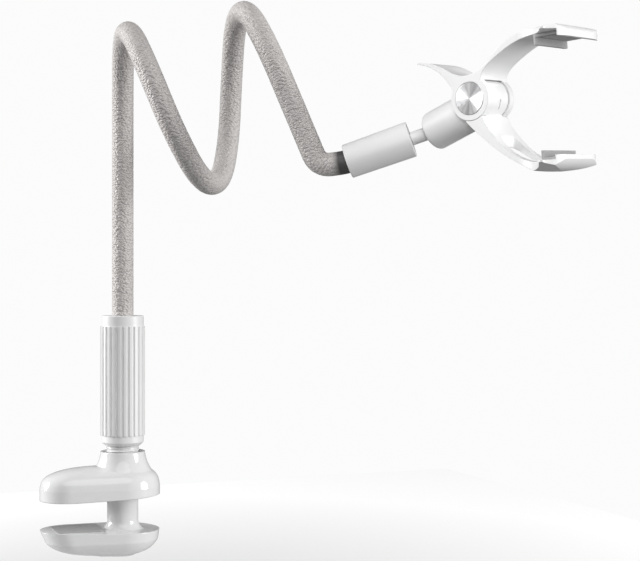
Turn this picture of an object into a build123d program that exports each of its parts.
"""Gooseneck phone holder: a screw clamp for a table edge, a bent flexible arm, a ball joint and a clip.

Millimetres. The origin is the centre of the upper clamp pad's underside, which lies on the table top.
+Z is up, the clamp's mouth faces -X and the column stands at +X. The arm and the clip are laid out in a
reach frame round the column (reach, side, height), turned by ARM_YAW from the clamp.
"""
import math
import os

from build123d import *

os.makedirs("parts", exist_ok=True)

# Clearances
RUN = 0.3                   # gap round a part that turns or slides
SNUG = 0.05                 # gap of a close fit
JOINT_FIT = 0.06            # radial gap of a bearing face

# Clamp
TABLE_GAP = 20.0            # height between the two pads as set here
COLUMN_X = 33.0             # pad centre to the column's axis
COLUMN_D = 22.0             # threaded column, over the middle of its thread
CREST_D = 23.4              # and over the thread's crests
COLUMN_TOP = 104.0          # top of the column over the table
JAW_REAR_R = 26.4           # round end of the jaws, about the column
JAW_NOSE_R = 21.0           # round nose of the jaws
JAW_REACH = 38.0            # column axis to the centre of the nose
TOE_IN = 2.4                # how much further apart the jaws are at the column than at the nose
PAD_L = 33.0
PAD_W = 30.0
PAD_T = 3.0
PAD_PROUD = 0.5             # pad face in front of the jaw's nose
PAD_CORNER_R = 4.0

# Upper jaw
UPPER_WALL_H = 8.5          # upright rim of the upper jaw
# Crown above the rim: heights, and how far the plan has drawn in there at the rear and at the nose
UPPER_CROWN = (
    (12.0, 0.6, 0.7),
    (15.8, 2.1, 3.2),
    (18.6, 4.6, 8.0),
    (20.8, 8.2, 15.5),
    (22.2, 12.5, 24.0),
    (23.0, 16.5, 32.0),
)
NECK_R = 15.7               # neck the sleeve screws down to
NECK_FLARE_R = 24.4         # the neck's foot, just inside the crown
NECK_FLARE_H = 15.0         # and its height
NECK_TOP = 33.0
NECK_RECESS_R = 13.6
NECK_RECESS_D = 3.0
UNDER_RECESS_R = 13.4       # room in the underside for the column's flared foot
UNDER_RECESS_H = 8.0

# Lower jaw: depths below its rim, and how far the plan has drawn in there at the rear and at the nose
LOWER_WALL_H = 8.5
LOWER_BELLY = (
    (LOWER_WALL_H, 1.3, 4.2),
    (15.0, 6.5, 14.0),
    (19.0, 15.5, 34.0),
    (20.4, 18.5, 42.0),
)
FOOT_FLARE_R = 17.0         # flared foot of the column on the lower jaw
FOOT_FLARE_H = 9.0

# Ribbed sleeve, the long nut on the column
SLEEVE_BOTTOM = 37.5
SLEEVE_TOP = 129.7
SLEEVE_BAND_R = 14.9
SLEEVE_RIB_R = 15.8
SLEEVE_BOTTOM_BAND = 7.2
SLEEVE_TOP_BAND = 7.7
SLEEVE_CHAMFER = 2.2
SLEEVE_THREAD_H = 26.0      # threaded length of its bore
SLEEVE_BORE_R = 12.2        # relieved bore above the thread
SLEEVE_LID_T = 4.0
RIB_COUNT = 24
RIB_GROOVE_R = 1.0

# Arm
ARM_OD = 15.2
CORE_D = 8.0
CORE_DEPTH = 32.0           # core inside the column
PIN_D = 3.0
PIN_DROP = 16.0             # pin below the column's top
ARM_YAW = 22.0              # the arm's plane, turned from the clamp's
COIL_AXIS_Z = 264.5         # height of the coil's axis over the column
COIL_HALF_HEIGHT = 55.0
COIL_HALF_DEPTH = 47.5
COIL_PITCH = 79.0
COIL_TILT = 10.0            # the coil's axis rises with its reach
COIL_CORNERS = 12           # corners of the arm's line over one and a half turns
EXIT_RUN = 84.5             # last straight limb, down to the bend before the collar
LEAD_RUN = 16.8             # from that bend to the collar's axis
LEAD_RISE = 5.8
LEAD_TURN = 10.0

# End collar and ball stud
COLLAR_L = 43.5
COLLAR_R_ARM = 11.1
COLLAR_R_BALL = 11.6
COLLAR_RISE = 18.7
COLLAR_TURN = 8.0
COLLAR_STEP = 2.4           # from the last corner of the arm's line to the collar's end face
SKIN_IN_COLLAR = 15.0
CORE_IN_COLLAR = 29.0
STUD_SHANK_D = 6.0
STUD_SHANK_L = 9.5
STUD_NECK_D = 8.6
STUD_REACH = 17.0           # collar's end face to the ball's centre
BALL_R = 8.0

# Clip, laid out from its pivot: forward, across and up
CLIP_YAW = 39.3
CLIP_PITCH = 2.9
CLIP_ROLL = 3.8
BALL_BACK = 36.2            # ball's centre behind the pivot
BALL_BELOW = 14.9           # and below it
TUBE_RISE = 18.0
TUBE_R = 12.5
TUBE_LIP = 2.8              # the tube's mouth past the ball's centre
TUBE_MOUTH_R = 2.4
SEAT_R = 9.6
SEAT_FRONT = 1.2            # seat's front face behind the ball's centre
SEAT_L = 10.0
CLIP_W = 30.0
CHEEK_T = 4.8
KNUCKLE_R = 13.5
INNER_KNUCKLE_R = 12.5
PIVOT_D = 5.0
DISC_R = 10.2
DISC_T = 1.6
DISC_PROUD = 0.25
SPRING_WIRE_D = 1.4
SPRING_R = 6.3
SPRING_TURNS = 5
SPRING_WALL = 4.2           # far wall of the spring's chamber
PHONE_BACK = 51.4           # pivot to the back of a held phone
PHONE_TOP = 29.2            # pivot up to its upper edge
PHONE_BOTTOM = 41.8         # pivot down to its lower edge
GRIP_PAD_T = 2.0
GRIP_PAD_W = 38.0
GRIP_STOP_H = 4.4           # the pad's back stop
LIP_T = 2.4
LIP_HALF_W = 15.3
UPPER_LIP_FRONT = 71.0      # pivot to the upper lip's front, at the opening shown
UPPER_LIP_H = 2.0           # upper lip over the phone's front
LOWER_LIP_FRONT = 64.0
LOWER_LIP_H = 0.8
PLATE_T = 4.6               # grip plates in the middle
PLATE_HALF_W = 33.0         # middle to the plates' pointed ends
PLATE_END_T = 0.9           # thickness there
PLATE_END_R = 1.4
PLATE_END_BACK = 7.4        # the pointed ends behind the lip's front
STRUT_T = 3.6
TAIL_BACK = 36.6            # thumb lever
TAIL_UP = 27.2
TAIL_EDGE = 1.1
WINDOW_START = 15.0         # opening between the lower jaw's struts
WINDOW_END = 42.0
WINDOW_HALF_W = 9.8
WINDOW_CORNER_R = 5.0
LEG_SLOT_L = 6.5            # slot in the inner knuckle for the spring's leg
LEG_SLOT_W = 1.6
LEG_SLOT_D = 1.5
LEG_SLOT_ACROSS = 1.0
LEG_SLOT_DROP = 22.0        # degrees below the forward direction
OPEN_MOST = 15.0            # degrees the moving jaw opens further than shown

COLUMN_R = COLUMN_D / 2
ARM_R = ARM_OD / 2
CORE_R = CORE_D / 2


def jaw_outline(z, rear_r, nose_r, reach):
    """The plan of a clamp jaw at height z: round ends about the column and the nose, and their tangents."""
    nx = (nose_r - rear_r) / reach
    ny = math.sqrt(1 - nx * nx)
    rear_x = COLUMN_X
    nose_x = COLUMN_X - reach
    a = (rear_x + rear_r * nx, -rear_r * ny)
    b = (rear_x + rear_r * nx, rear_r * ny)
    c = (nose_x + nose_r * nx, nose_r * ny)
    d = (nose_x + nose_r * nx, -nose_r * ny)
    edges = [
        ThreePointArc(a, (rear_x + rear_r, 0), b),
        Line(b, c),
        ThreePointArc(c, (nose_x - nose_r, 0), d),
        Line(d, a),
    ]
    return Pos(0, 0, z) * make_face(edges)


def drawn_in(z, rear_in, nose_in):
    """A jaw's plan at height z, drawn in at the rear and the sides, and at the nose."""
    nose_r = JAW_NOSE_R - rear_in
    reach = JAW_REACH + JAW_NOSE_R - nose_in - nose_r
    return jaw_outline(z, JAW_REAR_R - rear_in, nose_r, reach)


def about_column(profile):
    """A body of revolution about the column, from a profile of radius and height."""
    return Pos(COLUMN_X, 0, 0) * revolve(Plane.XZ * profile, Axis.Z)


def column_rod(radius, low, high):
    return Pos(COLUMN_X, 0, low) * Cylinder(radius, high - low, align=(Align.CENTER, Align.CENTER, Align.MIN))


def edges_at(body, z):
    return body.edges().filter_by_position(Axis.Z, z - 0.01, z + 0.01)


def slanted_cut(rear_z, nose_z, side):
    """A wedge that trims a jaw's gripping face: at nose_z under the nose and rear_z behind the column."""
    rear_x = COLUMN_X + JAW_REAR_R
    nose_x = COLUMN_X - JAW_REACH - JAW_NOSE_R
    deep = 40.0 * side
    wedge = make_face(
        Polyline(
            (nose_x - 5, nose_z),
            (nose_x + JAW_NOSE_R, nose_z),
            (rear_x + 5, rear_z),
            (rear_x + 5, rear_z + deep),
            (nose_x - 5, rear_z + deep),
            close=True,
        )
    )
    return extrude(Plane.XZ * wedge, amount=60, both=True)


# Upper clamp jaw: an upright rim, a full crown over the toe and a neck, bored for the column
upper_rim = extrude(drawn_in(0, 0, 0), amount=UPPER_WALL_H)
upper_crown = loft([drawn_in(UPPER_WALL_H, 0, 0)] + [drawn_in(*level) for level in UPPER_CROWN])
upper_body = upper_rim + upper_crown
neck_profile = make_face(
    [
        Line((0, UPPER_WALL_H), (NECK_FLARE_R, UPPER_WALL_H)),
        Line((NECK_FLARE_R, UPPER_WALL_H), (NECK_FLARE_R, NECK_FLARE_H)),
        ThreePointArc(
            (NECK_FLARE_R, NECK_FLARE_H),
            (NECK_R + 0.32 * (NECK_FLARE_R - NECK_R), NECK_FLARE_H + 0.45 * (NECK_TOP - NECK_FLARE_H)),
            (NECK_R, NECK_TOP),
        ),
        Line((NECK_R, NECK_TOP), (0, NECK_TOP)),
        Line((0, NECK_TOP), (0, UPPER_WALL_H)),
    ]
)
upper_body = upper_body + about_column(neck_profile)
upper_body -= column_rod(CREST_D / 2 + RUN, -5, NECK_TOP + 5)
upper_body -= column_rod(NECK_RECESS_R, NECK_TOP - NECK_RECESS_D, NECK_TOP + 5)
upper_body -= column_rod(UNDER_RECESS_R, -5, UNDER_RECESS_H)
upper_body -= slanted_cut(PAD_PROUD + TOE_IN, PAD_PROUD, -1)
upper_pad = extrude(RectangleRounded(PAD_L, PAD_W, PAD_CORNER_R), amount=PAD_T)
upper_body -= upper_pad
export_step(upper_body, "parts/upper_clamp_jaw.step")
export_step(upper_pad, "parts/upper_clamp_pad.step")

# Lower clamp jaw: the same plan with a belly like a boat's, and the column standing on it in one moulding
lower_top = -TABLE_GAP
lower_rim = lower_top - PAD_PROUD
crease_z = lower_rim - LOWER_WALL_H
belly_plans = [drawn_in(lower_rim - depth, rear_in, nose_in) for depth, rear_in, nose_in in LOWER_BELLY]
lower_wall = loft([belly_plans[0], drawn_in(lower_top, 0, 0)])
lower_belly = loft(belly_plans)
lower_body = lower_wall + lower_belly
foot_z = lower_rim - TOE_IN
lower_body -= slanted_cut(foot_z, lower_rim, 1)
column_profile = make_face(
    [
        Line((0, crease_z), (FOOT_FLARE_R, crease_z)),
        Line((FOOT_FLARE_R, crease_z), (FOOT_FLARE_R, foot_z)),
        ThreePointArc(
            (FOOT_FLARE_R, foot_z),
            (COLUMN_R + 0.27 * (FOOT_FLARE_R - COLUMN_R), foot_z + 0.3 * FOOT_FLARE_H),
            (COLUMN_R, foot_z + FOOT_FLARE_H),
        ),
        Line((COLUMN_R, foot_z + FOOT_FLARE_H), (COLUMN_R, COLUMN_TOP)),
        Line((COLUMN_R, COLUMN_TOP), (0, COLUMN_TOP)),
        Line((0, COLUMN_TOP), (0, crease_z)),
    ]
)
lower_body = lower_body + about_column(column_profile)
lower_pad = Pos(0, 0, lower_top - PAD_T) * extrude(RectangleRounded(PAD_L, PAD_W, PAD_CORNER_R), amount=PAD_T)
lower_body -= lower_pad
lower_body -= column_rod(CORE_R + SNUG, COLUMN_TOP - CORE_DEPTH, COLUMN_TOP + 5)
pin_z = COLUMN_TOP - PIN_DROP
arm_pin = Pos(COLUMN_X, 0, pin_z) * Rot(90, 0, 0) * Cylinder(PIN_D / 2, 2 * COLUMN_R - 2)
pin_hole = Pos(COLUMN_X, 0, pin_z) * Rot(90, 0, 0) * Cylinder(PIN_D / 2 + SNUG, 2 * COLUMN_R + 2)
lower_body -= pin_hole
export_step(lower_body, "parts/lower_clamp_jaw.step")
export_step(lower_pad, "parts/lower_clamp_pad.step")
export_step(arm_pin, "parts/arm_pin.step")

# Ribbed sleeve: plain bands at both ends, grooves between the ribs, a thread below and a lid round the arm
rib_low = SLEEVE_BOTTOM + SLEEVE_BOTTOM_BAND
rib_high = SLEEVE_TOP - SLEEVE_TOP_BAND
bands = column_rod(SLEEVE_BAND_R, SLEEVE_BOTTOM, SLEEVE_TOP)
bands = chamfer(edges_at(bands, SLEEVE_BOTTOM), SLEEVE_CHAMFER)
bands = fillet(edges_at(bands, SLEEVE_TOP), 0.8)
rib_plan = Circle(SLEEVE_RIB_R) - PolarLocations(SLEEVE_RIB_R + 0.1, RIB_COUNT) * Circle(RIB_GROOVE_R)
ribs = Pos(COLUMN_X, 0, rib_low) * extrude(rib_plan, amount=rib_high - rib_low)
grip_sleeve = bands + ribs
thread_top = SLEEVE_BOTTOM + SLEEVE_THREAD_H
grip_sleeve -= column_rod(COLUMN_R + RUN, SLEEVE_BOTTOM - 5, thread_top)
grip_sleeve -= column_rod(SLEEVE_BORE_R, thread_top - 0.01, SLEEVE_TOP - SLEEVE_LID_T)
grip_sleeve -= column_rod(ARM_R + RUN, SLEEVE_TOP - SLEEVE_LID_T - 1, SLEEVE_TOP + 5)
export_step(grip_sleeve, "parts/grip_sleeve.step")


def heading(rise, turn):
    """A direction in the reach frame: rise over the level, turn towards the front."""
    r = math.radians(rise)
    t = math.radians(turn)
    return Vector(math.cos(r) * math.cos(t), -math.cos(r) * math.sin(t), math.sin(r))


def to_row(p):
    """Reach frame (reach, side, height) to the part's frame: turned about the column by ARM_YAW."""
    c = math.cos(math.radians(ARM_YAW))
    s = math.sin(math.radians(ARM_YAW))
    return Vector(COLUMN_X + p.X * c + p.Y * s, -p.X * s + p.Y * c, p.Z)


def row_dir(p):
    return to_row(p) - to_row(Vector(0, 0, 0))


# Arm's line: straight up from the column, one and a half turns of a leaning oval coil, and down to the collar
tilt = math.radians(COIL_TILT)
spread = 1 / math.cos(math.pi / 8)
corners = []
for k in range(COIL_CORNERS):
    turn = math.pi / 8 + k * math.pi / 4
    along = COIL_PITCH * turn / (2 * math.pi)
    lift = COIL_HALF_HEIGHT * spread * math.sin(turn)
    side = -COIL_HALF_DEPTH + COIL_HALF_DEPTH * spread * math.cos(turn)
    reach = along * math.cos(tilt) - lift * math.sin(tilt)
    height = COIL_AXIS_Z + along * math.sin(tilt) + lift * math.cos(tilt)
    corners.append(Vector(reach, side, height))
shift = corners[0].X
corners = [Vector(p.X - shift, p.Y, p.Z) for p in corners]
last_dir = Vector(
    COIL_PITCH / (2 * math.pi) * math.cos(tilt) + COIL_HALF_HEIGHT * math.sin(tilt),
    0,
    COIL_PITCH / (2 * math.pi) * math.sin(tilt) - COIL_HALF_HEIGHT * math.cos(tilt),
).normalized()
bend = corners[-1] + last_dir * EXIT_RUN
collar_dir = heading(COLLAR_RISE, COLLAR_TURN)
collar_foot = bend + heading(LEAD_RISE, LEAD_TURN) * LEAD_RUN
collar_face = collar_foot + collar_dir * COLLAR_STEP
collar_end = collar_face + collar_dir * COLLAR_L
ball = collar_end + collar_dir * STUD_REACH


def arm_line(low, depth):
    """The arm's path from height low in the column to a depth inside the collar: runs joined by arcs."""
    points = [Vector(0, 0, low)] + corners + [bend, collar_foot, collar_face + collar_dir * depth]
    points = [to_row(p) for p in points]
    radii = []
    for before, here, after in zip(points, points[1:], points[2:]):
        run = min((here - before).length, (after - here).length)
        half = math.radians((here - before).get_angle(after - here)) / 2
        radii.append(0.45 * run / math.tan(half))
    radii[-1] = min(radii[-1], 0.9 * COLLAR_STEP / math.tan(half))
    return FilletPolyline(*points, radius=radii)


def along_arm(path, section):
    return sweep(Plane(origin=path @ 0, z_dir=path % 0) * section, path=path)


core_line = arm_line(COLUMN_TOP - CORE_DEPTH, CORE_IN_COLLAR)
skin_line = arm_line(COLUMN_TOP, SKIN_IN_COLLAR)
arm_core = along_arm(core_line, Circle(CORE_R))
arm_core -= pin_hole
arm_skin = along_arm(skin_line, Circle(ARM_R)) - along_arm(skin_line, Circle(CORE_R + SNUG))
export_step(arm_core, "parts/arm_core.step")
export_step(arm_skin, "parts/arm_skin.step")

# End collar, on the arm's end, and the ball stud in its front face; both turned about the collar's axis
collar_plane = Plane(origin=to_row(collar_face), z_dir=row_dir(collar_dir))
collar_profile = make_face(
    Polyline((0, 0), (COLLAR_R_ARM, 0), (COLLAR_R_BALL, COLLAR_L), (0, COLLAR_L), close=True)
)
end_collar = revolve(Plane.XZ * collar_profile, Axis.Z)
end_collar = fillet(end_collar.edges().filter_by(GeomType.CIRCLE), 0.7)
end_collar -= Cylinder(ARM_R + SNUG, SKIN_IN_COLLAR, align=(Align.CENTER, Align.CENTER, Align.MIN))
end_collar -= Cylinder(CORE_R + SNUG, CORE_IN_COLLAR, align=(Align.CENTER, Align.CENTER, Align.MIN))
shank_bottom = COLLAR_L - STUD_SHANK_L - RUN
end_collar -= Pos(0, 0, shank_bottom) * Cylinder(
    STUD_SHANK_D / 2 + JOINT_FIT, 2 * STUD_SHANK_L, align=(Align.CENTER, Align.CENTER, Align.MIN)
)
end_collar = collar_plane.location * end_collar
export_step(end_collar, "parts/end_collar.step")

ball_z = COLLAR_L + STUD_REACH
neck_r = STUD_NECK_D / 2
neck_reach = math.sqrt(BALL_R**2 - neck_r**2)
stud_profile = make_face(
    [
        Line((0, COLLAR_L - STUD_SHANK_L), (STUD_SHANK_D / 2, COLLAR_L - STUD_SHANK_L)),
        Line((STUD_SHANK_D / 2, COLLAR_L - STUD_SHANK_L), (STUD_SHANK_D / 2, COLLAR_L + RUN)),
        Line((STUD_SHANK_D / 2, COLLAR_L + RUN), (neck_r, COLLAR_L + RUN)),
        Line((neck_r, COLLAR_L + RUN), (neck_r, ball_z - neck_reach)),
        ThreePointArc((neck_r, ball_z - neck_reach), (BALL_R, ball_z), (0, ball_z + BALL_R)),
        Line((0, ball_z + BALL_R), (0, COLLAR_L - STUD_SHANK_L)),
    ]
)
ball_stud = collar_plane.location * revolve(Plane.XZ * stud_profile, Axis.Z)
export_step(ball_stud, "parts/ball_stud.step")

# Clip frame: forward (towards the phone's front), across and up, with its origin on the pivot
cy = math.cos(math.radians(CLIP_YAW))
sy = math.sin(math.radians(CLIP_YAW))
cp = math.cos(math.radians(CLIP_PITCH))
sp = math.sin(math.radians(CLIP_PITCH))
forward = Vector(cp * cy, -cp * sy, sp)
level_up = Vector(-sp * cy, sp * sy, cp)
level_across = level_up.cross(forward)
roll = math.radians(CLIP_ROLL)
across = level_across * math.cos(roll) + level_up * math.sin(roll)
up = level_up * math.cos(roll) - level_across * math.sin(roll)
pivot = ball + forward * BALL_BACK + up * BALL_BELOW
clip = Plane(origin=to_row(pivot), x_dir=row_dir(forward), z_dir=row_dir(up)).location

HALF_W = CLIP_W / 2
SLOT_HALF = HALF_W - CHEEK_T


def across_rod(radius, low, high):
    """A round body on the pivot's axis, from low to high across the clip."""
    return Pos(0, low, 0) * Rot(-90, 0, 0) * Cylinder(
        radius, high - low, align=(Align.CENTER, Align.CENTER, Align.MIN)
    )


def leaf_plan(front):
    """Upright prism over a jaw's plan: straight sides, a plate that widens to points, a straight lip."""
    tail = -TAIL_BACK - HALF_W
    end = front - PLATE_END_BACK
    root = end - 0.8 * PLATE_HALF_W
    swell = HALF_W + 0.28 * (PLATE_HALF_W - HALF_W)
    half = [
        Line((tail, -HALF_W), (root, -HALF_W)),
        Spline(
            (root, -HALF_W),
            (root + 0.58 * (end - root), -swell),
            (end - PLATE_END_R, -PLATE_HALF_W),
            tangents=[(1, 0), (0.5, -0.87)],
        ),
        ThreePointArc(
            (end - PLATE_END_R, -PLATE_HALF_W),
            (end + 0.4 * PLATE_END_R, -PLATE_HALF_W - 0.4 * PLATE_END_R),
            (end + PLATE_END_R, -PLATE_HALF_W + PLATE_END_R),
        ),
        Spline(
            (end + PLATE_END_R, -PLATE_HALF_W + PLATE_END_R),
            (front, -LIP_HALF_W),
            tangents=[(0.4, 0.92), (0, 1)],
        ),
    ]
    edges = half + [mirror(e, Plane.XZ) for e in half]
    edges.append(Line((front, -LIP_HALF_W), (front, LIP_HALF_W)))
    edges.append(Line((tail, -HALF_W), (tail, HALF_W)))
    return extrude(make_face(edges), amount=2 * PHONE_BACK, both=True)


def crowned(end_v, middle_v):
    """Room inside a grip plate's crowned outer side, which swells from its pointed ends to its middle."""
    wide = PLATE_HALF_W + PLATE_END_R
    away = -math.copysign(2 * PHONE_BACK, middle_v)
    edges = [
        ThreePointArc((-wide, end_v), (0, middle_v), (wide, end_v)),
        Polyline((wide, end_v), (wide, away), (-wide, away), (-wide, end_v)),
    ]
    return extrude(Plane.YZ * make_face(edges), amount=2 * UPPER_LIP_FRONT, both=True)


# Socket tube's axis, from the ball's centre
tube_dir = Vector(math.cos(math.radians(TUBE_RISE)), 0, math.sin(math.radians(TUBE_RISE)))
ball_local = Vector(-BALL_BACK, 0, -BALL_BELOW)
tube = Plane(origin=ball_local, z_dir=tube_dir).location

# Moving jaw: thumb lever, two cheeks on the pivot, a strut and the upper grip plate with its lip
top_face = PHONE_TOP + GRIP_PAD_T
top_out = top_face + PLATE_T
upper_lip_back = UPPER_LIP_FRONT - LIP_T
saddle = (0, KNUCKLE_R + 0.9)
shoulder = (0.446 * PHONE_BACK, 0.955 * PHONE_TOP)
plate_top = (PHONE_BACK - 2, top_out)
moving_edges = [
    Spline(
        (-TAIL_BACK, TAIL_UP),
        (-0.486 * TAIL_BACK, 0.773 * TAIL_UP),
        saddle,
        tangents=[(1, -0.08), (1, 0.1)],
    ),
    Spline(saddle, shoulder, plate_top, tangents=[(1, 0.1), (1, 0.02)]),
    Spline(plate_top, (UPPER_LIP_FRONT, top_face), tangents=[(1, 0.02), (0.6, -1)]),
    Polyline(
        (UPPER_LIP_FRONT, top_face),
        (UPPER_LIP_FRONT, PHONE_TOP - UPPER_LIP_H),
        (upper_lip_back, PHONE_TOP - UPPER_LIP_H),
        (upper_lip_back, top_face),
        (PHONE_BACK - 6, top_face),
    ),
    Spline(
        (PHONE_BACK - 6, top_face),
        (shoulder[0], shoulder[1] - 1.1 * STRUT_T),
        (0.23 * PHONE_BACK, 0.56 * PHONE_TOP),
        (0.637 * KNUCKLE_R, 0.652 * KNUCKLE_R),
        tangents=[(-1, -0.05), (-0.1, -1)],
    ),
    Polyline((0.637 * KNUCKLE_R, 0.652 * KNUCKLE_R), (0, 0), (-0.837 * KNUCKLE_R, 0.385 * KNUCKLE_R)),
    Spline(
        (-0.837 * KNUCKLE_R, 0.385 * KNUCKLE_R),
        (-0.5 * TAIL_BACK, 0.59 * TAIL_UP),
        (-TAIL_BACK, TAIL_UP - TAIL_EDGE),
        tangents=[(-0.45, 1), (-1, 0.2)],
    ),
    Line((-TAIL_BACK, TAIL_UP - TAIL_EDGE), (-TAIL_BACK, TAIL_UP)),
]
upper_plan = leaf_plan(UPPER_LIP_FRONT)
moving_body = extrude(Plane.XZ * make_face(moving_edges), amount=2 * PLATE_HALF_W, both=True)
moving_body = moving_body & upper_plan & crowned(top_face + PLATE_END_T, top_out)
moving_body = moving_body + across_rod(KNUCKLE_R, -HALF_W, HALF_W)
moving_body -= across_rod(KNUCKLE_R + RUN, -SLOT_HALF, SLOT_HALF)
moving_body -= across_rod(PIVOT_D / 2 + JOINT_FIT, -HALF_W - 1, HALF_W + 1)
disc_seat = DISC_T - DISC_PROUD
moving_body -= across_rod(DISC_R + SNUG, -HALF_W - 1, -HALF_W + disc_seat)
moving_body -= across_rod(DISC_R + SNUG, HALF_W - disc_seat, HALF_W + 1)
opened = Rot(0, OPEN_MOST + 1, 0)
tube_room = Cylinder(TUBE_R + 2 * RUN, 4 * BALL_BACK) + Pos(-2 * TUBE_R, 0, 0) * Box(
    4 * TUBE_R, 2 * (TUBE_R + 2 * RUN), 4 * BALL_BACK
)
lever_room = opened * (tube * tube_room) - across_rod(KNUCKLE_R, -HALF_W, HALF_W)
moving_body -= lever_room
export_step(clip * moving_body, "parts/moving_jaw.step")

# Fixed jaw: inner knuckle with the spring's chamber, spigot for the tube, two struts and the lower grip plate
bottom_face = -PHONE_BOTTOM - GRIP_PAD_T
bottom_out = bottom_face - 1.35 * PLATE_T
lower_lip_back = LOWER_LIP_FRONT - LIP_T
strut_root = (-0.07 * PHONE_BACK, -0.34 * PHONE_BOTTOM)
plate_low = (PHONE_BACK + 1, bottom_out)
web_front = (0.16 * PHONE_BACK, -0.3 * PHONE_BOTTOM)
fixed_edges = [
    Spline(
        strut_root,
        (0.181 * PHONE_BACK, -0.639 * PHONE_BOTTOM),
        (0.436 * PHONE_BACK, -0.9 * PHONE_BOTTOM),
        (0.691 * PHONE_BACK, -1.086 * PHONE_BOTTOM),
        plate_low,
        tangents=[(0.65, -0.75), (1, 0.02)],
    ),
    Spline(plate_low, (LOWER_LIP_FRONT, bottom_face), tangents=[(1, 0.02), (0.5, 1)]),
    Polyline(
        (LOWER_LIP_FRONT, bottom_face),
        (LOWER_LIP_FRONT, -PHONE_BOTTOM + LOWER_LIP_H),
        (lower_lip_back, -PHONE_BOTTOM + LOWER_LIP_H),
        (lower_lip_back, bottom_face),
        (PHONE_BACK - 5, bottom_face),
    ),
    Spline(
        (PHONE_BACK - 5, bottom_face),
        (0.698 * PHONE_BACK, -0.99 * PHONE_BOTTOM),
        (0.444 * PHONE_BACK, -0.792 * PHONE_BOTTOM),
        (0.245 * PHONE_BACK, -0.505 * PHONE_BOTTOM),
        web_front,
        tangents=[(-1, 0.05), (-0.3, 1)],
    ),
    Polyline(
        web_front,
        (0.37 * KNUCKLE_R, -0.59 * KNUCKLE_R),
        (-0.22 * KNUCKLE_R, -0.59 * KNUCKLE_R),
        strut_root,
    ),
]
lower_plan = leaf_plan(LOWER_LIP_FRONT)
fixed_body = extrude(Plane.XZ * make_face(fixed_edges), amount=2 * PLATE_HALF_W, both=True)
fixed_body = fixed_body & lower_plan & crowned(bottom_face - PLATE_END_T, bottom_out)
window = Pos((WINDOW_START + WINDOW_END) / 2, 0) * RectangleRounded(
    WINDOW_END - WINDOW_START, 2 * WINDOW_HALF_W, WINDOW_CORNER_R
)
fixed_body -= extrude(window, amount=-2 * PHONE_BOTTOM)
fixed_body -= across_rod(KNUCKLE_R + RUN, -HALF_W - 1, HALF_W + 1)
inner_half = SLOT_HALF - RUN
fixed_body = fixed_body + across_rod(INNER_KNUCKLE_R, -inner_half, inner_half)
web = make_face(
    Polyline(
        (-0.25 * KNUCKLE_R, -0.74 * KNUCKLE_R),
        (0.47 * KNUCKLE_R, -0.59 * KNUCKLE_R),
        (0.71 * KNUCKLE_R, -1.3 * KNUCKLE_R),
        (-0.15 * KNUCKLE_R, -1.16 * KNUCKLE_R),
        close=True,
    )
)
fixed_body = fixed_body + extrude(Plane.XZ * web, amount=inner_half, both=True)
seat_end = SEAT_FRONT + SEAT_L
spigot_l = BALL_BACK / math.cos(math.radians(TUBE_RISE)) - seat_end - RUN
spigot = Pos(0, 0, seat_end + RUN) * Cylinder(SEAT_R, spigot_l, align=(Align.CENTER, Align.CENTER, Align.MIN))
fixed_body = fixed_body + tube * spigot
spring_room = SPRING_R + SPRING_WIRE_D / 2 + RUN
fixed_body -= across_rod(spring_room, -inner_half - 1, inner_half - SPRING_WALL)
fixed_body -= across_rod(PIVOT_D / 2 + JOINT_FIT, -HALF_W, HALF_W)
slot_face = Vector(math.cos(math.radians(LEG_SLOT_DROP)), 0, -math.sin(math.radians(LEG_SLOT_DROP)))
slot_plane = Plane(
    origin=slot_face * INNER_KNUCKLE_R + Vector(0, LEG_SLOT_ACROSS, 0),
    x_dir=slot_face.cross(Vector(0, 1, 0)),
    z_dir=slot_face,
)
fixed_body -= extrude(slot_plane * SlotOverall(LEG_SLOT_L, LEG_SLOT_W), amount=LEG_SLOT_D, both=True)
export_step(clip * fixed_body, "parts/fixed_jaw.step")

# Socket tube round the ball, and the seat that the spigot backs
tube_length = BALL_BACK / math.cos(math.radians(TUBE_RISE)) + TUBE_LIP
socket_tube = Pos(0, 0, -TUBE_LIP) * Cylinder(
    TUBE_R, tube_length, align=(Align.CENTER, Align.CENTER, Align.MIN)
)
socket_tube = fillet(edges_at(socket_tube, -TUBE_LIP), TUBE_MOUTH_R)
socket_tube -= Sphere(BALL_R + RUN)
socket_tube -= Pos(0, 0, SEAT_FRONT - RUN) * Cylinder(
    SEAT_R + SNUG, tube_length, align=(Align.CENTER, Align.CENTER, Align.MIN)
)
socket_tube = tube * socket_tube
socket_tube -= across_rod(KNUCKLE_R + RUN, -HALF_W - 1, HALF_W + 1)
socket_tube -= fixed_body
export_step(clip * socket_tube, "parts/socket_tube.step")

ball_seat = Pos(0, 0, SEAT_FRONT) * Cylinder(SEAT_R, SEAT_L, align=(Align.CENTER, Align.CENTER, Align.MIN))
ball_seat -= Sphere(BALL_R + JOINT_FIT)
export_step(clip * (tube * ball_seat), "parts/ball_seat.step")

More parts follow.
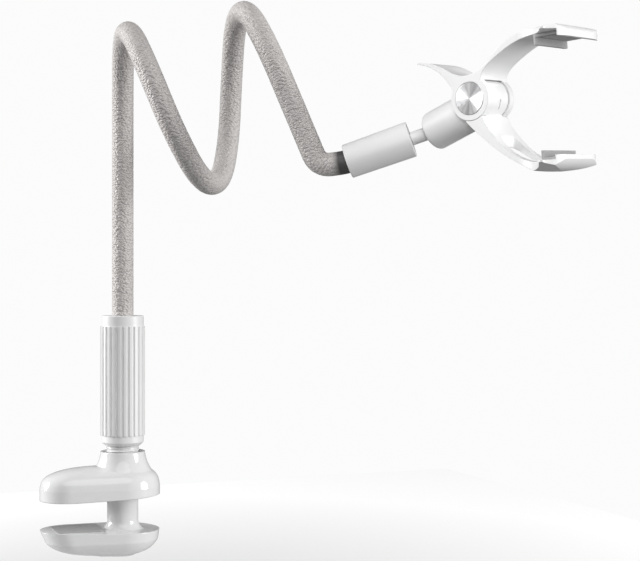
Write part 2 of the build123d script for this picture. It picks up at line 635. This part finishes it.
# Pivot: pin, spring round it and a metal disc at each end
pivot_pin = across_rod(PIVOT_D / 2, -HALF_W + disc_seat, HALF_W - disc_seat)
export_step(clip * pivot_pin, "parts/pivot_pin.step")
spring_low = -inner_half + SPRING_WIRE_D / 2
spring_high = inner_half - SPRING_WALL - SPRING_WIRE_D / 2 - 0.1
spring_line = Helix((spring_high - spring_low) / SPRING_TURNS, spring_high - spring_low, SPRING_R)
spring_wire = Plane(origin=spring_line @ 0, z_dir=spring_line % 0) * Circle(SPRING_WIRE_D / 2)
torsion_spring = sweep(spring_wire, path=spring_line, is_frenet=True)
torsion_spring = Pos(0, spring_low, 0) * Rot(-90, 0, 0) * torsion_spring
export_step(clip * torsion_spring, "parts/torsion_spring.step")
near_disc = across_rod(DISC_R, -HALF_W - DISC_PROUD, -HALF_W + disc_seat)
far_disc = across_rod(DISC_R, HALF_W - disc_seat, HALF_W + DISC_PROUD)
export_step(clip * near_disc, "parts/near_disc.step")
export_step(clip * far_disc, "parts/far_disc.step")

# Rubber grip pads with a back stop
stop_back = PHONE_BACK - GRIP_PAD_T
upper_grip = make_face(
    Polyline(
        (stop_back, top_face),
        (upper_lip_back, top_face),
        (upper_lip_back, PHONE_TOP),
        (PHONE_BACK, PHONE_TOP),
        (PHONE_BACK, PHONE_TOP - GRIP_STOP_H),
        (stop_back, PHONE_TOP - GRIP_STOP_H),
        close=True,
    )
)
lower_grip = make_face(
    Polyline(
        (stop_back, bottom_face),
        (lower_lip_back, bottom_face),
        (lower_lip_back, -PHONE_BOTTOM),
        (PHONE_BACK, -PHONE_BOTTOM),
        (PHONE_BACK, -PHONE_BOTTOM + GRIP_STOP_H),
        (stop_back, -PHONE_BOTTOM + GRIP_STOP_H),
        close=True,
    )
)
moving_jaw_pad = extrude(Plane.XZ * upper_grip, amount=GRIP_PAD_W / 2, both=True) & upper_plan
fixed_jaw_pad = extrude(Plane.XZ * lower_grip, amount=GRIP_PAD_W / 2, both=True) & lower_plan
export_step(clip * moving_jaw_pad, "parts/moving_jaw_pad.step")
export_step(clip * fixed_jaw_pad, "parts/fixed_jaw_pad.step")
